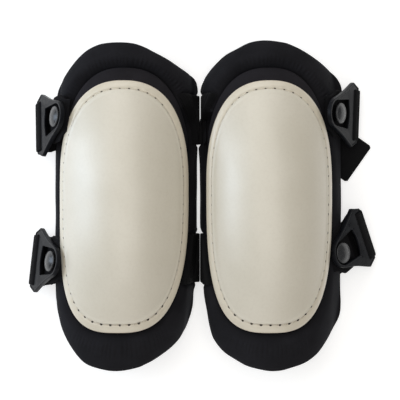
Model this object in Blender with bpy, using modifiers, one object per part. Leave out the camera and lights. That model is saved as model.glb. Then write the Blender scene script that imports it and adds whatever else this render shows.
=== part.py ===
"""A pair of strap-on knee pads, lying side by side on their straps with the caps up.

Metres, +Z up, +Y towards the thigh end. The origin is on the floor, below the middle of the pair.
Each pad is an arch. Its layers are slabs between two depths below one shared outer surface.
"""

import math

import bmesh
import bpy
from mathutils import Matrix, Vector

MM = 0.001

# The outer surface: an arc across the pad, then a straight side down to the foot.
CROWN_HEIGHT = 80 * MM
ARCH_RADIUS = 62.3 * MM
ARCH_CENTRE = CROWN_HEIGHT - ARCH_RADIUS
SHOULDER_ANGLE = math.radians(68)
SHOULDER_X = ARCH_RADIUS * math.sin(SHOULDER_ANGLE)
SHOULDER_Z = ARCH_CENTRE + ARCH_RADIUS * math.cos(SHOULDER_ANGLE)
FOOT_HEIGHT = 10 * MM
# The two ends bend down towards the leg.
END_DROP = 22 * MM
END_DROP_AT = 113 * MM
END_DROP_POWER = 2.5
# How low the outer and the inner surface may come, and how softly they get there.
LOWEST_OUTER = 12.5 * MM
LOWEST_INNER = 3.2 * MM
LOWEST_BLEND = 2.5 * MM

# Depths of the layers below the outer surface.
CAP_DEPTHS = (0, 2.4 * MM)
BACKING_DEPTHS = (2.8 * MM, 3.4 * MM)
PANEL_DEPTHS = (4.6 * MM, 8.4 * MM)
CROWN_FOAM_DEPTHS = (9.6 * MM, 12.4 * MM)
BORDER_BASE = 11.8 * MM
CORE_DEPTHS = (14.8 * MM, 20 * MM)
LINER_DEPTHS = (20.6 * MM, 21.8 * MM)

# The cap's outline: two half superellipses that meet where the cap is widest.
CAP_WIDEST_Y = 20 * MM
CAP_TOP_Y = 114.7 * MM
CAP_BOTTOM_Y = -112.3 * MM
CAP_TOP_ROUNDNESS = 2.45
CAP_BOTTOM_ROUNDNESS = 3.1
STITCH_INSET = 9 * MM
THREAD_RADIUS = 0.5 * MM
PANEL_TOP_GROWTH = 11.5 * MM
PANEL_SIDE_GROWTH = -1 * MM
BORDER_GAP = 1.2 * MM

# The pad's outline, clockwise from the thigh end. The two pads differ a little.
BODY_HALF_WIDTH = 65.5 * MM
BODY_HALF_LENGTH = 151 * MM
LEFT_OUTLINE = (
    (-6, 151.4), (-21, 150.4), (-31, 147), (-38, 142.8), (-45, 136.6), (-51.5, 129.4), (-57.7, 122), (-61, 118),
    (-64.4, 111), (-66, 103), (-66.6, 95), (-66.4, 60), (-66.4, 0), (-66, -30), (-63.6, -78), (-60.8, -89.5),
    (-57, -100.5), (-53, -111.5), (-46.5, -122.5), (-37.7, -133.5), (-30.5, -140.6), (-24.6, -144.2),
    (-17, -146.7), (-3.6, -149.4), (8.4, -149.3), (22, -146.6), (28, -144), (35, -140.4), (43.8, -133.2),
    (49.2, -127.8), (53.5, -122.5), (56.5, -117), (59.4, -111.5), (62.6, -100.5), (64.2, -92), (64.7, -79),
    (67.4, -70), (66.8, -47), (65.6, -22), (64, -12), (64, 50), (65.5, 60), (65.6, 98), (65.8, 104), (65, 110.5),
    (61.7, 117.7), (57.6, 121.5), (47.6, 128.8), (37.8, 136.2), (26.8, 142.7), (17.8, 147.2), (7.8, 150.4),
)
RIGHT_OUTLINE = (
    (-3, 153.2), (-17, 151.4), (-29.7, 145.4), (-38.3, 140), (-45.7, 133), (-52, 126), (-57.2, 118.7),
    (-60.2, 111.5), (-60.6, 106), (-59.4, 99), (-58.8, 80), (-58.8, 62), (-60.2, 50), (-60.2, -12), (-59, -24),
    (-59, -60), (-58.7, -70), (-57.6, -82), (-55, -95.5), (-53, -106.5), (-49.8, -117.3), (-47, -122.6),
    (-43, -128), (-37.8, -133.4), (-28.1, -140.6), (-21.6, -144.2), (-14, -146.7), (0, -149.5), (11, -149.4),
    (21.5, -146.8), (30.8, -144.2), (37.3, -140.5), (45.8, -133.5), (54.2, -122.7), (61.3, -112), (66.8, -101),
    (69, -90), (69.8, -70), (69.8, 0), (69.8, 60), (69.8, 88), (69.6, 101), (68.2, 109.5), (65.6, 116.5),
    (61.6, 124.6), (51.6, 132.3), (40.2, 140), (29.8, 145.5), (19.6, 149.8), (13.8, 151.4),
)
BORDER_DEPTHS = (5.5 * MM, 2.6 * MM, 1.2 * MM, 0.6 * MM, 1.5 * MM)
BINDING_RADIUS = 1.5 * MM
BINDING_GAP = 0.8 * MM

# The clip, about the middle of its hooking end. +X runs to its bar, +Z out of its face.
PLATE_THICKNESS = 3.6 * MM
PLATE_CHAMFER = 0.5 * MM
PLATE_CIRCLES = ((0, 0, 14.7), (28.9, 28.4, 1.6), (28.9, -28.4, 1.6), (38.2, 25, 1.2), (38.2, -25, 1.2))
WINDOW_CIRCLES = ((0, 0, 8), (20.4, 11, 2.2), (20.4, -11, 2.2))
SLOT_START = 30.8 * MM
SLOT_END = 34 * MM
SLOT_HALF_LENGTH = 23.6 * MM
RECESS_RADIUS = 11.4 * MM
RECESS_DEPTH = 1.4 * MM

# The stud that the clip hooks on, as (radius, height above the clip's face).
STUD_PROFILE = (
    (0, 3), (4.5, 2.7), (7.8, 1.7), (9.2, 0.5), (9.4, -0.3), (8.8, -1), (3.8, -1), (3.8, -6.7), (0, -6.7),
)
WASHER_PROFILE = ((4.2, -3.9), (7.5, -3.9), (7.5, -4.7), (4.2, -4.7))
TURNED_STEPS = 16
TAB_CIRCLES = ((-4, 20.5, 2), (-4, -20.5, 2), (18, 20.5, 2), (18, -20.5, 2))
TAB_TOP = -4.9 * MM
TAB_THICKNESS = 2 * MM
TAB_HOLE_RADIUS = 4.2 * MM

# The elastic strap.
STRAP_THICKNESS = 1.8 * MM
STRAP_HALF_WIDTH = 22.5 * MM
STRAP_CLEARANCE = 0.3 * MM
BAR_WRAP_X = 38.2 * MM
BAR_WRAP_RADIUS = PLATE_THICKNESS / 2 + STRAP_CLEARANCE + STRAP_THICKNESS / 2
STRAP_END_GAP = 0.9 * MM
STRAP_LANDING = 24 * MM
STRAP_FOOT_GAP = 1.8 * MM
STRAP_CLIMB = (0.85, 0.6, 0.35)
STRAP_LIFT = 2.2 * MM
TAIL_HALF_WIDTH = 20.8 * MM

# Each pad: its cap's middle, its width to the left and right of that, how far its shin end leans.
PADS = {
    "left": {"side": -1, "x": -71.1 * MM, "y": -2.3 * MM, "left": 66.4 * MM, "right": 64.8 * MM,
             "cap": 57.3 * MM, "outline": LEFT_OUTLINE, "lean": -6.2 * MM},
    "right": {"side": 1, "x": 60.1 * MM, "y": -2.3 * MM, "left": 60.4 * MM, "right": 70.8 * MM,
              "cap": 56.8 * MM, "outline": RIGHT_OUTLINE, "lean": 0},
}
LEAN_LENGTH = 120 * MM
# Each clip: its hooking middle from the cap's middle (x outwards), its angles, and the stud's place in it.
CLIPS = {
    "left_upper": {"hook": (63.2, 83, 42.8), "slope": 59, "yaw": 5, "turn": -15, "tab_turn": -10, "stud": 0.6},
    "left_lower": {"hook": (65.9, -48.5, 42.4), "slope": 58, "yaw": 8.5, "turn": -5, "tab_turn": 2, "stud": 1.9},
    "right_upper": {"hook": (63, 86.3, 40.8), "slope": 55, "yaw": -3, "turn": 2, "tab_turn": 0, "stud": 5.5},
    "right_lower": {"hook": (69.3, -40.5, 36), "slope": 44, "yaw": 4, "turn": 22, "tab_turn": 22, "stud": -1.6},
}
STRAP_Y = {"upper": 82 * MM, "lower": -47 * MM}

DISC_CELLS = 10
RING_CELLS = 44
TUBE_POINTS = 44

COLOURS = {
    "cream_leather": ((0.80, 0.78, 0.69), 0.38),
    "thread": ((0.72, 0.70, 0.60), 0.7),
    "brown_backing": ((0.13, 0.045, 0.03), 0.6),
    "black_fabric": ((0.012, 0.012, 0.016), 0.85),
    "foam": ((0.03, 0.03, 0.035), 0.95),
    "liner_fabric": ((0.02, 0.02, 0.024), 0.9),
    "webbing": ((0.008, 0.008, 0.01), 0.8),
    "elastic": ((0.012, 0.012, 0.014), 0.75),
    "black_plastic": ((0.02, 0.022, 0.028), 0.35),
    "stud_plastic": ((0.03, 0.032, 0.036), 0.3),
}


def clear_scene():
    for obj in list(bpy.data.objects):
        bpy.data.objects.remove(obj, do_unlink=True)


def new_collection(name):
    collection = bpy.data.collections.new(name)
    bpy.context.scene.collection.children.link(collection)
    return collection


def make_material(name):
    colour, roughness = COLOURS[name]
    material = bpy.data.materials.new(name)
    material.use_nodes = True
    shader = material.node_tree.nodes["Principled BSDF"]
    shader.inputs["Base Color"].default_value = (*colour, 1)
    shader.inputs["Roughness"].default_value = roughness
    shader.inputs["Metallic"].default_value = 0
    material.diffuse_color = (*colour, 1)
    return material


def add_object(name, data, material):
    obj = bpy.data.objects.new(name, data)
    PARTS.objects.link(obj)
    data.materials.clear()
    data.materials.append(MATERIALS[material])
    return obj


def add_mesh(name, work, material, smooth=True):
    bmesh.ops.recalc_face_normals(work, faces=work.faces)
    mesh = bpy.data.meshes.new(name)
    work.to_mesh(mesh)
    work.free()
    if smooth:
        mesh.shade_smooth()
        mesh.set_sharp_from_angle(angle=math.radians(40))
    return add_object(name, mesh, material)


# The pad's shared outer surface


def end_drop(y):
    reach = abs(y) / END_DROP_AT
    if reach < 1:
        return END_DROP * reach**END_DROP_POWER
    return END_DROP * (1 + END_DROP_POWER * (reach - 1))


def outer_height(pad, x, y):
    """Height of the outer surface, before it is held above the floor."""
    if abs(x) <= SHOULDER_X:
        height = ARCH_CENTRE + math.sqrt(ARCH_RADIUS**2 - x**2)
    else:
        half_width = pad["right"] if x > 0 else pad["left"]
        steepness = (SHOULDER_Z - FOOT_HEIGHT) / (half_width - SHOULDER_X)
        height = SHOULDER_Z - (abs(x) - SHOULDER_X) * steepness
    return height - end_drop(y)


def outward(pad, x, y):
    """The outer surface's normal, from its slopes."""
    step = 0.2 * MM
    slope_x = (outer_height(pad, x + step, y) - outer_height(pad, x - step, y)) / (2 * step)
    slope_y = (outer_height(pad, x, y + step) - outer_height(pad, x, y - step)) / (2 * step)
    return Vector((-slope_x, -slope_y, 1)).normalized()


def to_world(pad, point):
    """From a pad's own place to the pair's, with the lean of its shin end."""
    lean = pad["lean"] * (min(0, point.y) / LEAN_LENGTH) ** 2
    return Vector((point.x + lean + pad["x"], point.y + pad["y"], point.z))


def surface_point(pad, x, y, depth):
    """The world point at a depth below the outer surface, over the plan point x, y."""
    point = Vector((x, y, outer_height(pad, x, y))) - outward(pad, x, y) * depth
    share = max(0, depth) / LINER_DEPTHS[1]
    lowest = LOWEST_OUTER + (LOWEST_INNER - LOWEST_OUTER) * share
    above = (point.z - lowest) / LOWEST_BLEND
    if above < 30:
        point.z = lowest + LOWEST_BLEND * math.log1p(math.exp(above))
    return to_world(pad, point)


# Outlines, as the plan point at an angle


def body_edge(pad, angle):
    """The body's outline at an angle, smooth through its points."""
    table = sorted(
        (math.atan2(y * MM / BODY_HALF_LENGTH, x * MM / BODY_HALF_WIDTH),
         math.hypot(x * MM / BODY_HALF_WIDTH, y * MM / BODY_HALF_LENGTH))
        for x, y in pad["outline"]
    )
    count = len(table)
    turn = 2 * math.pi
    place = sum(1 for knot, _ in table if knot <= angle) - 1
    around = [table[(place + offset) % count][1] for offset in (-1, 0, 1, 2)]
    start = table[place][0] - (turn if place < 0 else 0)
    end = table[(place + 1) % count][0] + (turn if place + 1 == count else 0)
    t = (angle - start) / (end - start)
    before, here, after, beyond = around
    reach = here + 0.5 * t * (
        after - before
        + t * (2 * before - 5 * here + 4 * after - beyond + t * (3 * (here - after) + beyond - before))
    )
    return Vector((BODY_HALF_WIDTH * reach * math.cos(angle), BODY_HALF_LENGTH * reach * math.sin(angle)))


def cap_edge(pad, angle, side_growth=0.0, top_growth=0.0, bottom_growth=0.0):
    """The cap's outline at an angle, made larger by the growths."""
    across = math.cos(angle)
    along = math.sin(angle)
    top = CAP_TOP_Y + top_growth - CAP_WIDEST_Y
    bottom = CAP_WIDEST_Y - CAP_BOTTOM_Y + bottom_growth
    power = 2 / (CAP_TOP_ROUNDNESS if along > 0 else CAP_BOTTOM_ROUNDNESS)
    x = math.copysign((pad["cap"] + side_growth) * abs(across) ** power, across)
    y = math.copysign((top if along > 0 else bottom) * abs(along) ** power, along)
    return Vector((x, CAP_WIDEST_Y + y))


def panel_edge(pad, angle, inset=0.0):
    return cap_edge(pad, angle, PANEL_SIDE_GROWTH - inset, PANEL_TOP_GROWTH - inset, -2 * MM - inset)


def border_inner_edge(pad, angle):
    """Just outside both the cap and the crown panel."""
    return cap_edge(pad, angle, BORDER_GAP, PANEL_TOP_GROWTH + BORDER_GAP, BORDER_GAP)


# Layers of the pad


def slab(name, columns, rows, place, top_depth, bottom_depth, pad, material, ring=False):
    """A closed layer: a grid laid over the pad at two depths. place(u, v) gives its plan point."""
    work = bmesh.new()
    bmesh.ops.create_grid(work, x_segments=columns, y_segments=rows, size=1)
    plan = work.verts.layers.float_vector.new("plan")
    for vert in work.verts:
        vert[plan] = (vert.co.x, vert.co.y, 0)
    if ring:
        for vert in work.verts:
            angle = math.pi * vert.co.x
            vert.co = Vector((math.cos(angle), math.sin(angle), 0)) * (2 + vert.co.y)
        bmesh.ops.remove_doubles(work, verts=work.verts, dist=1e-6)
    lower = list(work.verts)
    made = bmesh.ops.extrude_face_region(work, geom=list(work.faces))["geom"]
    upper = [item for item in made if isinstance(item, bmesh.types.BMVert)]
    for verts, depth in ((lower, bottom_depth), (upper, top_depth)):
        for vert in verts:
            u, v, _ = vert[plan]
            x, y = place(u, v)
            vert.co = surface_point(pad, x, y, depth(v) if callable(depth) else depth)
    return add_mesh(name, work, material)


def disc_place(edge, centre_y):
    """A square grid rounded into an outline, with its lines drawn closer towards the edge."""

    def place(u, v):
        x = u * math.sqrt(1 - v * v / 2)
        y = v * math.sqrt(1 - u * u / 2)
        reach = math.hypot(x, y)
        if reach < 1e-6:
            return Vector((0, centre_y))
        rim = edge(math.atan2(y, x))
        middle = Vector((0, centre_y))
        return middle + (rim - middle) * math.sin(math.pi / 2 * min(1, reach))

    return place


def ring_place(inner, outer):
    """A grid bent into a ring between two outlines: u runs round, v runs outwards."""

    def place(u, v):
        angle = math.pi * u
        share = (v + 1) / 2
        return inner(angle).lerp(outer(angle), math.sin(math.pi / 2 * share) ** 1.2)

    return place


def border_top(v):
    """Depth of the border's puffy top, from its inner seam to its outer edge."""
    place = (v + 1) / 2 * (len(BORDER_DEPTHS) - 1)
    return BORDER_DEPTHS[round(place)]


def closed_tube(name, points, radius, material):
    """A ring of thread or tape through points."""
    curve = bpy.data.curves.new(name, "CURVE")
    curve.dimensions = "3D"
    curve.bevel_depth = radius
    curve.bevel_resolution = 1
    spline = curve.splines.new("POLY")
    spline.points.add(len(points) - 1)
    for target, point in zip(spline.points, points):
        target.co = (*point, 1)
    spline.use_cyclic_u = True
    return add_object(name, curve, material)


def build_cushion(name, pad):
    def edge(angle):
        return body_edge(pad, angle)

    cap_place = disc_place(lambda angle: cap_edge(pad, angle), CAP_WIDEST_Y)
    slab(f"{name}_cap", DISC_CELLS, DISC_CELLS, cap_place, *CAP_DEPTHS, pad, "cream_leather")
    slab(f"{name}_cap_backing", DISC_CELLS, DISC_CELLS, cap_place, *BACKING_DEPTHS, pad, "brown_backing")
    panel_place = disc_place(lambda angle: panel_edge(pad, angle), CAP_WIDEST_Y)
    slab(f"{name}_crown_panel", DISC_CELLS, DISC_CELLS, panel_place, *PANEL_DEPTHS, pad, "black_fabric")
    foam_place = disc_place(lambda angle: panel_edge(pad, angle, 3 * MM), CAP_WIDEST_Y)
    slab(f"{name}_crown_foam", DISC_CELLS, DISC_CELLS, foam_place, *CROWN_FOAM_DEPTHS, pad, "foam")
    body_place = disc_place(edge, 0)
    slab(f"{name}_foam_core", DISC_CELLS, DISC_CELLS, body_place, *CORE_DEPTHS, pad, "foam")
    slab(f"{name}_inner_liner", DISC_CELLS, DISC_CELLS, body_place, *LINER_DEPTHS, pad, "liner_fabric")
    border_place = ring_place(lambda angle: border_inner_edge(pad, angle), edge)
    slab(f"{name}_border_roll", RING_CELLS, len(BORDER_DEPTHS) - 1, border_place,
         border_top, BORDER_BASE, pad, "black_fabric", ring=True)

    angles = [2 * math.pi * index / TUBE_POINTS - math.pi for index in range(TUBE_POINTS)]
    seam = [cap_edge(pad, angle, -0.5 * STITCH_INSET, -STITCH_INSET, -STITCH_INSET) for angle in angles]
    thread_depth = -THREAD_RADIUS - STRAP_CLEARANCE
    thread = [surface_point(pad, point.x, point.y, thread_depth) for point in seam]
    closed_tube(f"{name}_cap_stitching", thread, THREAD_RADIUS, "thread")

    rims = [edge(angle) for angle in angles]
    highs = [surface_point(pad, rim.x, rim.y, BORDER_DEPTHS[-1]) for rim in rims]
    lows = [surface_point(pad, rim.x, rim.y, BORDER_BASE) for rim in rims]
    binding = []
    for index, (high, low) in enumerate(zip(highs, lows)):
        along = lows[(index + 1) % TUBE_POINTS] - lows[index - 1]
        off = (low - high).cross(along).normalized()
        binding.append((low + high) / 2 + off * (BINDING_RADIUS + BINDING_GAP))
    closed_tube(f"{name}_edge_binding", binding, BINDING_RADIUS, "webbing")


# Clips, studs and tabs


def hull_of_circles(circles, steps=20):
    """The outline of a band stretched round some circles, each (x, y, radius) in millimetres."""
    spots = set()
    for x, y, radius in circles:
        for index in range(steps):
            angle = 2 * math.pi * index / steps
            spots.add((round(x + radius * math.cos(angle), 4), round(y + radius * math.sin(angle), 4)))
    hull = []
    for points in (sorted(spots), sorted(spots, reverse=True)):
        chain = []
        for spot in points:
            while len(chain) > 1:
                (ax, ay), (bx, by) = chain[-2:]
                if (bx - ax) * (spot[1] - ay) - (by - ay) * (spot[0] - ax) > 1e-9:
                    break
                chain.pop()
            chain.append(spot)
        hull += chain[:-1]
    return [(x * MM, y * MM) for x, y in hull]


def flat_plate(name, outlines, thickness, chamfer):
    """A plate from flat outlines, the first its edge and the others its holes, as a mesh."""
    curve = bpy.data.curves.new(name, "CURVE")
    curve.dimensions = "2D"
    curve.fill_mode = "BOTH"
    curve.extrude = thickness / 2 - chamfer
    curve.bevel_depth = chamfer
    curve.bevel_resolution = 0
    curve.offset = -chamfer
    for outline in outlines:
        spline = curve.splines.new("POLY")
        spline.points.add(len(outline) - 1)
        for target, point in zip(spline.points, outline):
            target.co = (*point, 0, 1)
        spline.use_cyclic_u = True
    flat = bpy.data.objects.new(name, curve)
    bpy.context.scene.collection.objects.link(flat)
    graph = bpy.context.evaluated_depsgraph_get()
    mesh = bpy.data.meshes.new_from_object(flat.evaluated_get(graph))
    bpy.data.objects.remove(flat, do_unlink=True)
    work = bmesh.new()
    work.from_mesh(mesh)
    bpy.data.meshes.remove(mesh)
    bmesh.ops.remove_doubles(work, verts=work.verts, dist=1e-6)
    return work


def turned(name, profile, closed, material):
    """A round piece from a profile of (radius, height) in millimetres."""
    work = bmesh.new()
    verts = [work.verts.new((radius * MM, 0, height * MM)) for radius, height in profile]
    for first, second in zip(verts, verts[1:]):
        work.edges.new((first, second))
    if closed:
        work.edges.new((verts[-1], verts[0]))
    mesh = bpy.data.meshes.new(name)
    work.to_mesh(mesh)
    work.free()
    obj = add_object(name, mesh, material)
    screw = obj.modifiers.new("Screw", "SCREW")
    screw.steps = TURNED_STEPS
    screw.render_steps = TURNED_STEPS
    screw.use_merge_vertices = True
    screw.merge_threshold = 0.00001
    screw.use_smooth_shade = True
    return obj


def clip_frame(pad, place, turn):
    """The matrix of a clip, stud or tab: +X down the slope and outwards, +Z out of its face."""
    x, y, z = place["hook"]
    hook = to_world(pad, Vector((x * pad["side"], y, z)) * MM)
    yaw = math.radians(place["yaw"])
    heading = yaw if pad["side"] > 0 else math.pi - yaw
    rotation = Matrix.Rotation(heading, 4, "Z") @ Matrix.Rotation(math.radians(place["slope"]), 4, "Y")
    return Matrix.Translation(hook) @ rotation @ Matrix.Rotation(math.radians(turn) * pad["side"], 4, "Z")


def build_clip(name, pad, place):
    frame = clip_frame(pad, place, place["turn"])
    slot = [(SLOT_START, -SLOT_HALF_LENGTH), (SLOT_END, -SLOT_HALF_LENGTH),
            (SLOT_END, SLOT_HALF_LENGTH), (SLOT_START, SLOT_HALF_LENGTH)]
    outlines = (hull_of_circles(PLATE_CIRCLES, 24), hull_of_circles(WINDOW_CIRCLES, 16), slot)
    work = flat_plate(f"{name}_clip", outlines, PLATE_THICKNESS, PLATE_CHAMFER)
    bmesh.ops.translate(work, verts=work.verts, vec=(0, 0, -PLATE_THICKNESS / 2))
    clip = add_mesh(f"{name}_clip", work, "black_plastic", smooth=False)
    clip.matrix_world = frame

    work = bmesh.new()
    bmesh.ops.create_cone(work, cap_ends=True, segments=32, radius1=RECESS_RADIUS, radius2=RECESS_RADIUS,
                          depth=2 * RECESS_DEPTH)
    mesh = bpy.data.meshes.new(f"{name}_recess_cutter")
    work.to_mesh(mesh)
    work.free()
    cutter = bpy.data.objects.new(f"{name}_recess_cutter", mesh)
    CUTTERS.objects.link(cutter)
    cutter.matrix_world = frame
    cutter.hide_render = True
    cutter.display_type = "WIRE"
    cut = clip.modifiers.new("Recess", "BOOLEAN")
    cut.operation = "DIFFERENCE"
    cut.object = cutter

    stud_place = Matrix.Translation((place["stud"] * MM, 0, 0))
    turned(f"{name}_button", STUD_PROFILE, False, "stud_plastic").matrix_world = frame @ stud_place
    turned(f"{name}_stud_washer", WASHER_PROFILE, True, "stud_plastic").matrix_world = frame @ stud_place

    hole = hull_of_circles(((0, 0, TAB_HOLE_RADIUS / MM),), 16)
    work = flat_plate(f"{name}_tab", (hull_of_circles(TAB_CIRCLES, 12), hole), TAB_THICKNESS, 0)
    bmesh.ops.translate(work, verts=work.verts, vec=(0, 0, TAB_TOP - TAB_THICKNESS / 2))
    untwist = Matrix.Rotation(math.radians(place["tab_turn"] - place["turn"]) * pad["side"], 4, "Z")
    add_mesh(f"{name}_tab", work, "webbing", smooth=False).matrix_world = frame @ stud_place @ untwist
    return frame


# Straps


def ribbon(name, stations, material, half_width=STRAP_HALF_WIDTH):
    """A flat band through stations, each a middle point and a direction across the band."""
    work = bmesh.new()
    rows = []
    for point, across in stations:
        offset = across.normalized() * half_width
        rows.append((work.verts.new(point - offset), work.verts.new(point + offset)))
    for (a, b), (c, d) in zip(rows, rows[1:]):
        work.faces.new((a, b, d, c))
    obj = add_mesh(name, work, material, smooth=False)
    solidify = obj.modifiers.new("Solidify", "SOLIDIFY")
    solidify.thickness = STRAP_THICKNESS
    solidify.offset = 0
    return obj


def build_strap(name, pad, frame, strap_y):
    """The loop round the clip's bar, and the strap from there under the pad to its inner side."""
    along = frame.to_3x3() @ Vector((1, 0, 0))
    across = frame.to_3x3() @ Vector((0, 1, 0))
    normal = frame.to_3x3() @ Vector((0, 0, 1))
    inward = (normal * along.z - along * normal.z).normalized()
    leave = math.atan2(-inward.dot(normal), inward.dot(along))
    middle = -PLATE_THICKNESS / 2
    top = middle + BAR_WRAP_RADIUS
    slot_x = SLOT_START + STRAP_CLEARANCE + STRAP_THICKNESS / 2
    path = [(slot_x, middle - 1.2 * MM), (slot_x, middle + 1 * MM), (slot_x + 0.8 * MM, top - 0.6 * MM),
            (slot_x + 2.4 * MM, top)]
    steps = 6
    for index in range(steps + 1):
        angle = leave * index / steps
        path.append((BAR_WRAP_X + BAR_WRAP_RADIUS * math.sin(angle),
                     middle + BAR_WRAP_RADIUS * math.cos(angle)))
    stations = [(frame @ Vector((x, 0, z)), across) for x, z in path]
    leaving = stations[-1][0]
    loop_end = leaving + inward * 4 * MM
    stations.append((loop_end, across))
    ribbon(f"{name}_strap_loop", stations, "elastic")

    side = pad["side"]
    level = Vector((0, math.copysign(1, across.y), 0))
    floor_z = STRAP_THICKNESS / 2
    start = loop_end + inward * STRAP_END_GAP
    low = Vector((start.x - STRAP_LANDING * side, strap_y + pad["y"], floor_z))
    stations = [(start, across)]
    for share in (0.2, 0.4, 0.6, 0.8):
        direction = across.lerp(level, share * (2 - share)).normalized()
        point = start.lerp(low, share)
        point.z = start.z + (low.z - start.z) * share * share * (3 - 2 * share)
        point.z = max(point.z, floor_z + abs(direction.z) * STRAP_HALF_WIDTH)
        stations.append((point, direction))
    stations.append((low, level))

    inner_side = body_edge(pad, math.atan2(strap_y / BODY_HALF_LENGTH, -side * 1.0)).x
    foot = to_world(pad, Vector((inner_side - side * STRAP_FOOT_GAP, strap_y, 0)))
    for inset, height in ((5, floor_z), (1.6, 3 * MM), (0, 6.5 * MM), (0, 12.5 * MM)):
        stations.append((Vector((foot.x + side * inset * MM, foot.y, height)), level))
    for share in STRAP_CLIMB:
        x = SHOULDER_X + share * (abs(inner_side) - SHOULDER_X)
        stations.append((surface_point(pad, -side * x, strap_y, -STRAP_LIFT), level))
    ribbon(f"{name}_strap", stations, "elastic")


def build_strap_tail(name, pad):
    """The loose end of a strap: from on top of the strap, down to the floor beside the pad."""
    end = Vector((88, 40.7, STRAP_THICKNESS / MM / 2)) * MM
    direction = Vector((0.819, -0.574, 0))
    across = Vector((0.574, 0.819, 0))
    stations = [(to_world(pad, end - direction * back * MM), across) for back in (24, 12, 0)]
    ribbon(name, stations, "elastic", TAIL_HALF_WIDTH)


clear_scene()
PARTS = new_collection("knee_pads")
CUTTERS = new_collection("cutters")
MATERIALS = {name: make_material(name) for name in COLOURS}

for pad_name, pad_place in PADS.items():
    build_cushion(pad_name, pad_place)
    for level_name, level_y in STRAP_Y.items():
        label = f"{pad_name}_{level_name}"
        clip_matrix = build_clip(label, pad_place, CLIPS[label])
        build_strap(label, pad_place, clip_matrix, level_y)
build_strap_tail("right_upper_strap_tail", PADS["right"])
bpy.context.view_layer.update()
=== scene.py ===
"""The looks of a pair of strap-on knee pads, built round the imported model.

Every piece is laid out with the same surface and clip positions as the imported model, in metres.
"""

import math

import bmesh
import bpy
import numpy as np
from mathutils import Matrix, Vector


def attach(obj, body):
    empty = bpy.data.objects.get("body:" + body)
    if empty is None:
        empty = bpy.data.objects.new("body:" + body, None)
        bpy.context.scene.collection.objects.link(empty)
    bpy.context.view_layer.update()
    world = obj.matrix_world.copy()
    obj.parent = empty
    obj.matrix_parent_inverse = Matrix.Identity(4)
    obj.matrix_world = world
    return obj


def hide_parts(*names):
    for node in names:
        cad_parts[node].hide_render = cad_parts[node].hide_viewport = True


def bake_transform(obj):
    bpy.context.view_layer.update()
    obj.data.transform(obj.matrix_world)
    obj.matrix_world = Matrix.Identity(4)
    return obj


MM = 0.001

# The outer surface: an arc across the pad, then a straight side down to the foot.
CROWN_HEIGHT = 80 * MM
ARCH_RADIUS = 62.3 * MM
ARCH_CENTRE = CROWN_HEIGHT - ARCH_RADIUS
SHOULDER_ANGLE = math.radians(68)
SHOULDER_X = ARCH_RADIUS * math.sin(SHOULDER_ANGLE)
SHOULDER_Z = ARCH_CENTRE + ARCH_RADIUS * math.cos(SHOULDER_ANGLE)
FOOT_HEIGHT = 6 * MM
END_DROP = 22 * MM
END_DROP_AT = 113 * MM
END_DROP_POWER = 2.5
LOWEST_OUTER = 7.5 * MM
LOWEST_INNER = 4.2 * MM
LOWEST_BLEND = 2.5 * MM
DEEPEST = 21.8 * MM

CAP_WIDEST_Y = 20 * MM
CAP_TOP_Y = 114.7 * MM
CAP_BOTTOM_Y = -112.3 * MM
CAP_TOP_ROUNDNESS = 2.45
CAP_BOTTOM_ROUNDNESS = 3.1

BODY_HALF_WIDTH = 65.5 * MM
BODY_HALF_LENGTH = 151 * MM
# The outlines of the two pads, in millimetres from each one's middle.
LEFT_OUTLINE = (
    (-6, 151.4), (-21, 150.4), (-31, 147), (-38, 142.8), (-45, 136.6), (-51.5, 129.4), (-57.7, 122),
    (-61, 118), (-64.4, 111), (-66, 103), (-66.6, 95), (-66.4, 60), (-66.4, 0), (-66, -30), (-63.6, -78),
    (-60.8, -89.5), (-57, -100.5), (-53, -111.5), (-46.5, -122.5), (-37.7, -133.5), (-30.5, -140.6),
    (-24.6, -144.2), (-17, -146.7), (-3.6, -149.4), (8.4, -149.3), (22, -146.6), (28, -144), (35, -140.4),
    (44.6, -133.8), (50.6, -129), (55.8, -123.5), (59, -118), (61.8, -112), (64.6, -101), (65.8, -92),
    (65.6, -79), (67.4, -70), (67, -47), (66.4, -22), (65.5, -12), (65.5, 50), (65.9, 60), (66, 98),
    (66.7, 104.5), (66.8, 112), (65.2, 119), (61, 124), (50, 130), (38.6, 136.8), (26.8, 142.7),
    (17.8, 147.2), (7.8, 150.4),
)
RIGHT_OUTLINE = (
    (-3, 153.2), (-17, 151.4), (-29.7, 145.4), (-39.2, 140.6), (-47.2, 133.8), (-54, 126.8), (-59.3, 119.4),
    (-61.9, 112), (-61.6, 106), (-60, 99), (-59.4, 80), (-59.4, 62), (-61.5, 50), (-61.5, -12),
    (-60.2, -24), (-59.6, -60), (-59.2, -70), (-58.4, -82), (-56.2, -95.5), (-54.4, -107), (-51.6, -118),
    (-48.8, -123.4), (-44.5, -129), (-38.8, -134.2), (-28.1, -140.6), (-21.6, -144.2), (-14, -146.7),
    (0, -149.5), (11, -149.4), (21.5, -146.8), (30.8, -144.2), (38, -141), (47, -134.4), (55.8, -123.6),
    (63.6, -113), (69.2, -102), (70.4, -90), (69.8, -70), (69.8, 0), (69.8, 60), (70.4, 88), (71.4, 103),
    (71.2, 112), (69.2, 118.2), (63.6, 125.6), (52.5, 132.8), (40.2, 140), (29.8, 145.5), (19.6, 149.8),
    (13.8, 151.4),
)

# Each pad: its side, its middle, the body's half widths where the arch meets the foot, the cap's half width,
# its outline, and how far its shin end leans to the right.
PADS = {
    "left": dict(side=-1, x=-71.1 * MM, y=-2.3 * MM, left=66.4 * MM, right=64.8 * MM, cap=59.2 * MM,
                 outline=LEFT_OUTLINE, lean=-6.2 * MM),
    "right": dict(side=1, x=60.1 * MM, y=-2.3 * MM, left=60.4 * MM, right=70.8 * MM, cap=57.5 * MM,
                  outline=RIGHT_OUTLINE, lean=0),
}
LEAN_LENGTH = 120 * MM
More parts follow.
